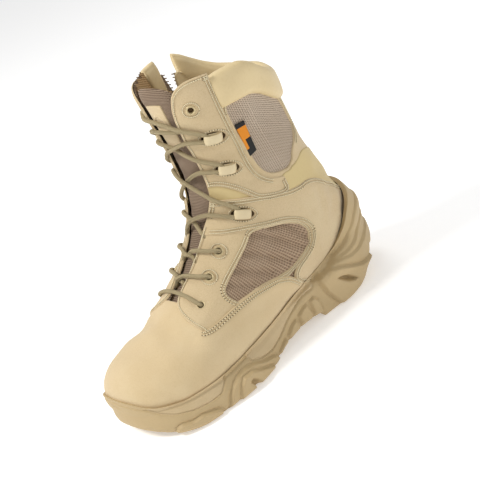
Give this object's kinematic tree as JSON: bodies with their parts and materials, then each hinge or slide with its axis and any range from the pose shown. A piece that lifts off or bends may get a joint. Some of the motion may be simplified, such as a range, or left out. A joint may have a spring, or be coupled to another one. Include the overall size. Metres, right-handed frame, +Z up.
{
  "type": "combat boot",
  "caption": "Left tan desert combat boot with a moulded lug sole, laced front, mesh side panels, padded collar and an inner side zip.",
  "frame": {"origin": "on the floor, at the middle of the boot's outline seen from above", "axes": "+Y from toe to heel, +Z up, +X towards the outer side of the foot"},
  "size_m": [0.1117, 0.3098, 0.2624],
  "materials": {
    "suede": "matt sand suede",
    "smooth_leather": "soft smooth leather",
    "mesh": "coarse woven nylon",
    "rubber": "matt moulded rubber",
    "lace": "round braided cord",
    "eyelet_metal": "sand paint",
    "zip_metal": "aged"
  },
  "bodies": {
    "boot": {"outsole": "rubber", "midsole": "rubber", "insole": "mesh", "upper": "suede", "tongue": "mesh", "collar_rear": "smooth_leather", "collar_front": "smooth_leather", "eyelet_outer_1": "eyelet_metal", "eyelet_outer_2": "eyelet_metal", "eyelet_outer_3": "eyelet_metal", "loop_outer_4": "suede", "loop_outer_5": "suede", "loop_outer_6": "suede", "eyelet_outer_7": "eyelet_metal", "eyelet_inner_1": "eyelet_metal", "eyelet_inner_2": "eyelet_metal", "eyelet_inner_3": "eyelet_metal", "loop_inner_4": "suede", "loop_inner_5": "suede", "loop_inner_6": "suede", "eyelet_inner_7": "eyelet_metal", "lace_bar": "lace", "lace_cross_1": "lace", "lace_cross_2": "lace", "lace_cross_3": "lace", "lace_cross_4": "lace", "lace_cross_5": "lace", "zip": "mesh", "zip_slider": "zip_metal"},
    "zip_pull": {"zip_pull": "zip_metal"}
  },
  "joints": [
    {"name": "zip_pull_swing", "type": "hinge", "parent": "boot", "child": "zip_pull", "pos_m": [-0.0528, 0.05548, 0.19851], "axis": [-0.0592, 0.9918, 0.1132], "range_deg": [0, 150]}
  ]
}
